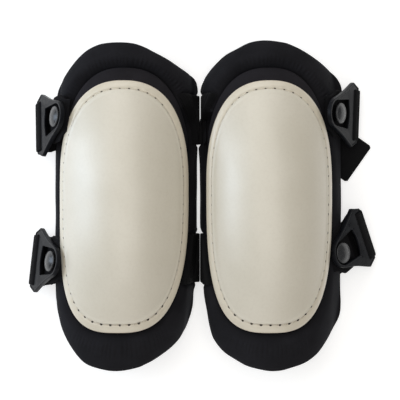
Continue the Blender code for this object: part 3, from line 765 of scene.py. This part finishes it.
def build_border(name, pad):
    """The puffy border round the cap, gathered into the crown panel's seam."""
    count = 1320
    growth = (1.2 * MM, SEAM_TOP, 1.2 * MM)
    angle, length = even_angles(pad, count, top=SEAM_TOP)
    along = np.arange(count) / count
    seed = 21 if name == "left" else 34
    uneven = wander(along, seed, (7, 13, 19))
    gather_count = round(length / (3.5 * MM))
    pitch = 2 * math.pi * (along * gather_count + 0.9 * wander(along, seed + 1, (11, 29, 47)))
    strength = 0.75 + 0.5 * wander(along, seed + 2, (17, 37, 53))
    top_gathers = ramp(np.sin(angle), 0.35, 0.8) * strength
    low_gathers = ramp(-np.sin(angle), 0.8, 0.97) * strength
    rows = []
    for v in np.concatenate([np.linspace(0, 0.3, 13), np.linspace(0.34, 1, 17)]):
        share = math.sin(math.pi / 2 * v) ** 1.2
        ring = ring_between(pad, angle, share, growth)
        seam_drop = 8.6 * max(0, 1 - v / 0.27) ** 2.3
        puff = 2.7 * math.sin(math.pi * v**0.85) - 2.4 * ramp(v, 0.82, 1)
        depth = seam_drop + 0.9 - puff + 0.5 * uneven * math.sin(math.pi * v)
        bump = hump(v, 0.12, 0.06) + 0.15 * hump(v, 0.24, 0.08)
        depth += 0.55 * bump * top_gathers * (np.cos(pitch) - 0.2)
        depth += 0.26 * hump(v, 0.30, 0.14) * low_gathers * np.cos(pitch)
        # The straps press the inner side flat.
        x, y = ring.T
        for strap_y in STRAP_Y.values():
            under_strap = 1 - ramp(np.abs(y - strap_y), 19 * MM, 27 * MM)
            pressed = ramp(-pad["side"] * x, 46 * MM, 54 * MM) * under_strap
            depth = depth * (1 - pressed) + pressed * (2.3 + 5.5 * max(0, 1 - v / 0.2) ** 2)
        rows.append(surface(pad, ring, depth * MM))
    rim = ring_between(pad, angle, 1.0, growth)
    low = surface(pad, rim, BASE_DEPTH)
    rows += rounded_edge(rows[-1], low, 0.62, np.linspace(0, math.pi, 9)[1:])
    for share in (0.85, 0.6, 0.3, 0):
        ring = ring_between(pad, angle, share, growth)
        rows.append(surface(pad, ring, BASE_DEPTH))
    border = loft(f"{name}_border_cushion", rows, FABRIC, wrap=True, flip=True)
    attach(border, f"{name}_pad")
    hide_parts(f"{name}_border_roll")


def build_liner(name, pad):
    """The main foam with its lining, quilted across on the knee side."""
    rim = body_rim(pad, 480)
    rows = [surface(pad, rim * share, 12.9 * MM) for share in (0.1, 0.5, 0.8, 0.93, 0.985)]
    high = surface(pad, rim, 13.6 * MM)
    low = surface(pad, rim, LINING_DEPTH_MM * MM)
    rows += rounded_edge(high, low, 0.6, np.linspace(0, math.pi, 9))
    for share in np.concatenate([np.linspace(0.99, 0.84, 10), np.linspace(0.81, 0.03, 44)]):
        plan = rim * share
        depth = LINING_DEPTH_MM + 1.6 * ramp(1 - share, 0, 0.1)
        channel = 1.8 * hump(share, 0.86, 0.012)
        for seam in (-88, -58, -26, 6, 38, 70, 102):
            quilting = 2.2 * hump(plan[:, 1] / MM, seam, 2.2) * ramp(0.87 - share, 0, 0.02)
            channel = np.maximum(channel, quilting)
        rows.append(surface(pad, plan, (depth - channel) * MM))
    liner = loft(f"{name}_lining", rows, LINER, pole_first=True, pole_last=True)
    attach(liner, f"{name}_pad")
    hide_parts(f"{name}_foam_core", f"{name}_inner_liner")


def build_binding(name, pad):
    """The tape bound round the pad's edge: a closed ring of oval section."""
    rim = body_rim(pad, 720)
    high = surface(pad, rim, 8.6 * MM)
    low = surface(pad, rim, 15.6 * MM)
    half, length, out = edge_axes(high, low)
    half = half / length * np.clip(length, 1.8 * MM, 3.1 * MM)
    middle = (high + low) / 2 + out * 1.9 * MM
    rows = [middle + out * 1.25 * MM * math.cos(t) + half * math.sin(t) for t in full_turn(14)]
    binding = loft(f"{name}_binding_tape", rows, BINDING, wrap=True)
    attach(binding, f"{name}_pad")
    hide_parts(f"{name}_edge_binding")


# ---------------------------------------------------------------- clips, studs and tabs


def clip_frame(pad, place, turn):
    """The matrix of a clip, stud or tab: +X down the slope and outwards, +Z out of its face."""
    x, y, z = place["hook"]
    hook = to_world(pad, np.array([x * pad["side"], y, z]) * MM)
    yaw = math.radians(place["yaw"])
    heading = yaw if pad["side"] > 0 else math.pi - yaw
    rotation = Matrix.Rotation(heading, 4, "Z") @ Matrix.Rotation(math.radians(place["slope"]), 4, "Y")
    spin = Matrix.Rotation(math.radians(turn) * pad["side"], 4, "Z")
    return Matrix.Translation(Vector(hook)) @ rotation @ spin


def arc(x, y, radius, start, end, steps):
    """Points on an arc between two angles in degrees."""
    turn = np.radians(np.linspace(start, end, steps))
    return np.stack([x + radius * np.cos(turn), y + radius * np.sin(turn)], axis=-1)


def bowed(a, b, bow, steps=14):
    """A side from a to b that bows inwards, without its ends."""
    a, b = np.asarray(a, float), np.asarray(b, float)
    t = np.linspace(0, 1, steps)[1:-1, None]
    across = np.array([-(b - a)[1], (b - a)[0]]) / np.linalg.norm(b - a)
    return a + (b - a) * t + across * bow * np.sin(math.pi * t) ** 1.3


def clip_outline(grow=0.0):
    """The plate's outline, in millimetres, anticlockwise, all drawn in or out by grow."""
    nose = arc(0, 0, 14.4 + grow, 118, 242, 40)
    low = arc(29.2, -28.2, 1.8 + grow, 242, 318, 7)
    low_out = arc(37.6, -24.6, 1.8 + grow, 318, 360, 6)
    high_out = arc(37.6, 24.6, 1.8 + grow, 0, 42, 6)
    high = arc(29.2, 28.2, 1.8 + grow, 42, 118, 7)
    low_side, high_side = bowed(nose[-1], low[0], 1.1), bowed(high[-1], nose[0], 1.1)
    return np.concatenate([nose, low_side, low, low_out, high_out, high, high_side])


def window_outline(grow=0.0, nose_radius=9.6, nose_turn=112):
    """The opening behind the stud: a wedge whose outer side is curved. grow draws it in."""
    nose = arc(0, 0, nose_radius - grow, nose_turn, 360 - nose_turn, 24)
    low = arc(19.4, -12.4, 1.3 - 0.7 * grow, 248, 350, 8)
    high = arc(19.4, 12.4, 1.3 - 0.7 * grow, 10, 112, 8)
    outer = bowed(low[-1], high[0], -2.2 + 0.3 * grow)
    return np.concatenate([nose, low, outer, high])


def flat_piece(name, outlines, thickness, bevel, lift):
    """A plate's mesh, with rounded edges, from flat outlines in millimetres; its middle is at height lift."""
    curve = bpy.data.curves.new(name, "CURVE")
    curve.dimensions = "2D"
    curve.fill_mode = "BOTH"
    curve.extrude = thickness / 2 - bevel
    curve.bevel_depth = bevel
    curve.bevel_resolution = 3
    curve.offset = -bevel
    for outline in outlines:
        spline = curve.splines.new("POLY")
        spline.points.add(len(outline) - 1)
        for target, point in zip(spline.points, outline):
            target.co = (point[0] * MM, point[1] * MM, 0, 1)
        spline.use_cyclic_u = True
    flat = new_object(name, curve)
    graph = bpy.context.evaluated_depsgraph_get()
    mesh = bpy.data.meshes.new_from_object(flat.evaluated_get(graph))
    bpy.data.objects.remove(flat, do_unlink=True)
    work = bmesh.new()
    work.from_mesh(mesh)
    bmesh.ops.remove_doubles(work, verts=work.verts, dist=1e-6)
    bmesh.ops.translate(work, verts=work.verts, vec=(0, 0, lift))
    bmesh.ops.recalc_face_normals(work, faces=work.faces)
    work.to_mesh(mesh)
    work.free()
    return mesh


def turned_rows(profile, steps):
    """Rings round Z from (radius, height) points in millimetres."""
    turn = full_turn(steps)
    profile = np.array(profile) * MM
    return [np.stack([r * np.cos(turn), r * np.sin(turn), np.full(steps, z)], axis=-1) for r, z in profile]


def place_points(obj, matrix):
    """Moves a piece's own points, so that its object stays at the origin."""
    obj.data.transform(matrix)


def build_plate(name, matrix):
    """The triangular plate: a window with a recess round the stud, a slot for the strap, and raised lips."""
    slot_hole = np.array([(31.2, -23.6), (34, -23.6), (34, 23.6), (31.2, 23.6)])
    outlines = (clip_outline(), window_outline(), slot_hole)
    mesh = flat_piece("plate", outlines, PLATE_THICKNESS, 0.55 * MM, -PLATE_THICKNESS / 2)
    obj = new_object(f"{name}_hook_plate", mesh)
    recess = flat_piece("recess", (window_outline(0.2, *RECESS_NOSE),), 6 * MM, 0.0, 0.3 * MM)
    cutter = new_object("recess", recess)
    cut = obj.modifiers.new("Recess", "BOOLEAN")
    cut.object = cutter
    cut.solver = "EXACT"
    graph = bpy.context.evaluated_depsgraph_get()
    cut_mesh = bpy.data.meshes.new_from_object(obj.evaluated_get(graph))
    obj.modifiers.clear()
    obj.data = cut_mesh
    cut_mesh.name = f"{name}_hook_plate"
    bpy.data.objects.remove(cutter, do_unlink=True)
    # The raised lip that follows the plate's outline, and the one round the window.
    work = bmesh.new()
    work.from_mesh(cut_mesh)
    window_lip = (window_outline(-1.1, *RECESS_NOSE), window_outline(0.15, *RECESS_NOSE))
    for outlines, height, bevel, lift in (
        ((clip_outline(-0.1), clip_outline(-1.7)), 1.6, 0.45, -0.35),
        (window_lip, 1.5, 0.4, -0.45),
    ):
        bead = flat_piece("bead", outlines, height * MM, bevel * MM, lift * MM)
        work.from_mesh(bead)
        bpy.data.meshes.remove(bead)
    work.to_mesh(cut_mesh)
    work.free()
    cut_mesh.materials.clear()
    cut_mesh.materials.append(PLASTIC)
    cut_mesh.materials.append(PLASTIC_PAINTED_SHADE)
    # Faces deep in the recess and window round the stud get a darker, duller copy of the plastic: painted
    # shade.
    for face in cut_mesh.polygons:
        x, y, z = face.center / MM
        inside = math.hypot(x, y) < 12.2 or (0 < x < 23.5 and abs(y) < 14)
        if inside and z < -1.0:
            face.material_index = 1
    cut_mesh.shade_smooth()
    cut_mesh.set_sharp_from_angle(angle=math.radians(32))
    place_points(obj, matrix)
    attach(obj, f"{name}_clip")
    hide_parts(f"{name}_clip")


def build_clip(name, pad, place):
    """A clip's plate, its stud and washer, and their tab."""
    frame_matrix = clip_frame(pad, place, place["turn"])
    build_plate(name, frame_matrix)
    stud_place = frame_matrix @ Matrix.Translation((place["stud"] * MM, 0, 0))
    head = (
        (0.02, 3.0), (1.6, 2.96), (3.2, 2.78), (4.8, 2.42), (6.2, 1.92), (7.2, 1.42), (7.75, 1.08),
        (8.0, 0.98), (8.5, 1.0), (8.95, 0.9), (9.3, 0.6), (9.4, 0.2), (9.38, -0.25), (9.15, -0.65),
        (8.7, -0.9), (6, -1.0), (4.1, -1.0), (3.8, -1.3), (3.8, -6.6), (0.02, -6.7),
    )
    rows = turned_rows(head, 64)
    button = loft(f"{name}_stud_head", rows, STUD, pole_first=True, pole_last=True, flip=True)
    button.data.set_sharp_from_angle(angle=math.radians(50))
    place_points(button, stud_place)
    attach(button, f"{name}_button")
    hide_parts(f"{name}_button")

    ring = ((4.3, -3.95), (5.2, -3.85), (6.9, -3.85), (7.5, -4.1), (7.5, -4.6), (7.2, -4.75), (4.3, -4.75))
    # The washer under the plate also takes the darker copy of the plastic: painted shade.
    washer = loft(f"{name}_washer", turned_rows(ring, 48), PLASTIC_PAINTED_SHADE, wrap=True, flip=True)
    washer.data.set_sharp_from_angle(angle=math.radians(40))
    place_points(washer, stud_place)
    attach(washer, f"{name.split('_')[0]}_pad")
    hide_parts(f"{name}_stud_washer")
    build_tab(name, pad, place)
    return frame_matrix


def build_tab(name, pad, place):
    """The webbing tab under the stud, which dips towards the cap's seam and narrows at both ends."""
    under_stud = Matrix.Translation((place["stud"] * MM, 0, -5.9 * MM))
    matrix = clip_frame(pad, place, place["tab_turn"]) @ under_stud
    route = ((-10.4, 0, -4.6), (-8, 0, -2.6), (-4, 0, -0.7), (2, 0, 0), (12, 0, 0), (19.5, 0, -0.1))
    along = smooth_path(np.array(route) * MM, 34)
    across = even_columns(17) * TAB_HALF_WIDTH
    grid = np.zeros((len(along), len(across), 3))
    for i, point in enumerate(along):
        x = point[0] / MM
        narrowed = 1 - 0.17 * ramp(x, 14.5, 19.5) - 0.3 * ramp(-x, -3, 8)
        grid[i, :, 0] = point[0]
        grid[i, :, 1] = across * narrowed
        grid[i, :, 2] = point[2] - 0.9 * MM * (across / TAB_HALF_WIDTH) ** 2
    tab = band(f"{name}_webbing_tab", grid, WEBBING, TAB_THICKNESS)
    place_points(tab, matrix)
    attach(tab, f"{name.split('_')[0]}_pad")
    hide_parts(f"{name}_tab")


# ---------------------------------------------------------------- straps


def build_loop(name, matrix):
    """The strap's loop round the clip's bar. Gives where it leaves the bar, its heading and its width's."""
    along = matrix.to_3x3() @ Vector((1, 0, 0))
    across = matrix.to_3x3() @ Vector((0, 1, 0))
    normal = matrix.to_3x3() @ Vector((0, 0, 1))
    inward = (normal * along.z - along * normal.z).normalized()
    leave = math.atan2(-inward.dot(normal), inward.dot(along))
    wrap_x, wrap_radius = BAR_WRAP
    middle = -PLATE_THICKNESS / 2
    path = [
        (SLOT_X, middle - 1.6 * MM), (SLOT_X, middle + 0.9 * MM), (SLOT_X + 0.7 * MM, middle + 2.4 * MM),
        (SLOT_X + 2.6 * MM, middle + wrap_radius),
    ]
    for index in range(9):
        angle = leave * index / 8
        path.append((wrap_x + wrap_radius * math.sin(angle), middle + wrap_radius * math.cos(angle)))
    stations = [np.array(matrix @ Vector((x, 0, z))) for x, z in path]
    leaving = Vector(stations[-1])
    stations += [np.array(leaving + inward * d * MM) for d in (3, 6, 9, 11)]
    line = smooth_path(stations, 60)
    wide = even_columns(STRAP_COLUMNS)[None, :, None] * np.array(across) * STRAP_HALF_WIDTH * 1.02
    grid = line[:, None, :] + wide
    loop = band(f"{name}_bar_loop", grid, ELASTIC)

    # The loop's other ply, from under the slot back onto the strap.
    below = Vector(matrix @ Vector((SLOT_X, 0, middle - 1.6 * MM)))
    sandwich = leaving + inward * 8 * MM + Vector((0, 0, 3.3 * MM))
    dip = below.lerp(sandwich, 0.35) + Vector((0, 0, -0.8 * MM))
    line = smooth_path([np.array(p) for p in (below, dip, sandwich, sandwich + inward * 3.5 * MM)], 20)
    inner_ply = band(f"{name}_bar_loop_end", line[:, None, :] + wide, ELASTIC, LOOP_END_THICKNESS)
    inner_ply.parent = loop
    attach(loop, f"{name}_clip")
    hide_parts(f"{name}_strap_loop")
    return leaving, inward, across


def build_strap(name, pad, matrix, strap_y):
    """The strap from its loop down to the floor, under the pad and up its inner side to the seam."""
    leaving, inward, across = build_loop(name, matrix)
    columns = even_columns(STRAP_COLUMNS)
    side = pad["side"]
    floor_z = STRAP_THICKNESS / 2 + 0.1 * MM
    facing = math.copysign(1, across.y)
    level = Vector((0, facing, 0))
    start = leaving + inward * 2.2 * MM + Vector((0, 0, 1.65 * MM))
    low = Vector((start.x - 28 * MM * side, strap_y + pad["y"], floor_z))
    begin = start + inward * 9 * MM
    stations = [(start, across), (start + inward * 4.5 * MM, across), (begin, across)]
    for share in (0.3, 0.55, 0.8):
        direction = across.lerp(level, share * (2 - share)).normalized()
        point = begin.lerp(low, share)
        point.z = begin.z + (low.z - begin.z) * share * share * (3 - 2 * share)
        point.z = max(point.z, floor_z + abs(direction.z) * STRAP_HALF_WIDTH)
        stations.append((point, direction))
    stations.append((low, level))
    inner_edge = abs(body_edge(pad, np.arctan2(strap_y / BODY_HALF_LENGTH, -side))[0])
    foot = to_world(pad, np.array([-side * (inner_edge + 1.8 * MM), strap_y, 0]))
    for share in (0.25, 0.5, 0.75):
        stations.append((Vector((low.x + (foot[0] - low.x) * share, foot[1], floor_z)), level))
    for inset_x, height in ((6, floor_z), (2, 2.2 * MM), (0.2, 5.5 * MM), (0, 9 * MM)):
        stations.append((Vector((foot[0] + side * inset_x * MM, foot[1], height)), level))
    lines = smooth_path([tuple(p) + tuple(d) for p, d in stations], 150)
    directions = lines[:, 3:] / np.linalg.norm(lines[:, 3:], axis=1, keepdims=True)
    grid = lines[:, None, :3] + columns[None, :, None] * directions[:, None, :] * STRAP_HALF_WIDTH
    # The end climbs the pad's inner side and is sewn in beside the cap, in rows above the last station.
    y = strap_y + columns * STRAP_HALF_WIDTH * facing
    seam = seam_x(pad, y)
    climb = []
    for share in np.linspace(0.1, 1, 34):
        x = inner_edge + (seam - inner_edge) * share**0.8
        sink = -1.5 - 0.5 * math.sin(math.pi * share) + 5.5 * ramp(share, 0.82, 1) ** 1.5
        climb.append(surface(pad, np.stack([-side * x, y], axis=-1), sink * MM))
    climb = np.array(climb)
    keep = climb[:, :, 2].mean(axis=1) > 10.5 * MM
    grid = np.concatenate([grid, climb[keep]])
    strap = band(f"{name}_elastic_strap", grid, ELASTIC)
    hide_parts(f"{name}_strap")
    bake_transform(strap)


def seam_x(pad, y):
    """How far the seam beside the cap is from the pad's middle, at each y on its inner side."""
    dense = np.linspace(-math.pi / 2, math.pi / 2, 4000)
    inner_side = dense if pad["side"] < 0 else math.pi - dense
    points = cap_edge(pad, inner_side, seam_side(pad, inner_side) + 1.6 * MM, SEAM_TOP, 1.2 * MM)
    return np.interp(y, points[:, 1], np.abs(points[:, 0]))


def build_tail(pad):
    """The loose end of the right pad's upper strap, lying flat beside the pad."""
    end = np.array([88, 40.7, 0.9]) * MM
    direction = np.array([0.819, -0.574, 0])
    across = np.array([0.574, 0.819, 0])
    columns = even_columns(STRAP_COLUMNS)
    rows = []
    for back in np.linspace(TAIL_LENGTH_MM, 0, 34):
        narrowed = 1 - 0.07 * ramp(-back, -2.2, 0)
        lift = 0.35 * MM * math.sin(min(back, 25) / 25 * math.pi)
        middle = end - direction * back * MM + np.array([0, 0, lift])
        rows.append(to_world(pad, middle + columns[:, None] * across * TAIL_HALF_WIDTH * narrowed))
    tail = band("right_upper_loose_strap_end", rows, ELASTIC)
    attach(tail, "right_pad")
    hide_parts("right_upper_strap_tail")


# ---------------------------------------------------------------- floor, light and camera


def area_light(name, location, target, size, power, colour):
    data = bpy.data.lights.new(name, "AREA")
    data.shape = "RECTANGLE"
    data.size, data.size_y = size
    data.energy = power
    data.color = colour
    light = new_object(name, data)
    light.location = location
    light.rotation_euler = (Vector(target) - Vector(location)).to_track_quat("-Z", "Y").to_euler()


def build_stage():
    bm = bmesh.new()
    bmesh.ops.create_grid(bm, x_segments=8, y_segments=8, size=8)
    mesh = bpy.data.meshes.new("floor")
    bm.to_mesh(mesh)
    bm.free()
    floor = new_object("floor", mesh)
    floor.location = (0, 0, -0.0004)
    mesh.materials.append(floor_material())

    world = bpy.data.worlds.new("world")
    bpy.context.scene.world = world
    world.use_nodes = True
    background = world.node_tree.nodes["Background"]
    background.inputs["Color"].default_value = (1, 0.985, 0.96, 1)
    background.inputs["Strength"].default_value = 0.27
    area_light("window", (-1.25, 0.25, 0.8), (0.0, 0, 0.03), (0.95, 1.4), 6.8, (0.78, 0.89, 1))
    area_light("low_window", (-0.75, 0.1, 0.15), (0, 0, 0.03), (0.26, 0.9), 2.0, (0.66, 0.80, 1))
    area_light("overhead", (-0.15, 0.35, 1.6), (0, 0, 0), (1.3, 2.8), 15.5, (1, 0.97, 0.92))
    area_light("top_fill", (0, 1.4, 0.75), (0, 0, 0.03), (1.4, 0.8), 4.6, (1, 0.98, 0.95))
    area_light("near_fill", (0, -1.4, 0.8), (0, 0, 0.03), (1.4, 0.8), 4.6, (1, 0.96, 0.92))

    camera_data = bpy.data.cameras.new("camera")
    camera_data.lens = 95
    camera_data.sensor_width = 36
    camera = new_object("camera", camera_data)
    camera.location = (-0.0023, 0.0048, 1.0)
    bpy.context.scene.camera = camera
    bpy.context.scene.view_settings.view_transform = "Standard"


# ---------------------------------------------------------------- everything

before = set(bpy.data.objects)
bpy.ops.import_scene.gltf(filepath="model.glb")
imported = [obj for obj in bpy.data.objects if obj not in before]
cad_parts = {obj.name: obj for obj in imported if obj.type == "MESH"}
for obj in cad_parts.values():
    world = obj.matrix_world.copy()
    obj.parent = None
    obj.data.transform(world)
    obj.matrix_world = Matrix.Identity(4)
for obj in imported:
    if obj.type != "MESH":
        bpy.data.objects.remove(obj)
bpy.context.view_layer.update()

LEATHER = leather_material()
BACKING_AND_SHADE = backing_and_shade_material()
FABRIC = fabric_material("black_fabric", (0.0100, 0.0098, 0.0114, 1), (0.0170, 0.0168, 0.0198, 1))
FABRIC_PLAIN = fabric_material(
    "black_fabric_plain", (0.0150, 0.0140, 0.0162, 1), (0.0225, 0.0210, 0.0245, 1), 1900.0
)
LINER = fabric_material("liner_fabric", (0.012, 0.012, 0.014, 1), (0.024, 0.024, 0.028, 1), 900.0, 0.12)
BINDING = fabric_material("binding_tape", (0.004, 0.004, 0.0045, 1), (0.008, 0.008, 0.009, 1), 2200.0, 0.03)
WEBBING = band_material("webbing", (0.005, 0.005, 0.0058, 1), (0.011, 0.011, 0.013, 1), 6.0, 3.0)
ELASTIC = band_material("elastic", (0.0058, 0.0058, 0.0063, 1), (0.0145, 0.0145, 0.016, 1), 9.0, 4.0)
PLASTIC = plastic_material("black_plastic", (0.0045, 0.0052, 0.0072, 1), 0.3)
# A darker, duller copy of the black plastic: painted shade in the clip's recess and on the washer.
PLASTIC_PAINTED_SHADE = plastic_material("black_plastic_painted_shade", (0.0015, 0.0015, 0.002, 1), 0.6, 0.02, 0.02)
STUD = plastic_material("stud_plastic", (0.013, 0.014, 0.016, 1), 0.25, 0.02, 0.55)
THREAD = thread_material()
HOLE_SHADE = hole_shade_material()

for pad_name, pad_place in PADS.items():
    build_cap(pad_name, pad_place)
    build_crown_panel(pad_name, pad_place)
    build_border(pad_name, pad_place)
    build_liner(pad_name, pad_place)
    build_binding(pad_name, pad_place)
    for level_name, level_y in STRAP_Y.items():
        label = f"{pad_name}_{level_name}"
        clip_matrix = build_clip(label, pad_place, CLIPS[label])
        build_strap(label, pad_place, clip_matrix, level_y)
build_tail(PADS["right"])
build_stage()

bpy.context.view_layer.update()
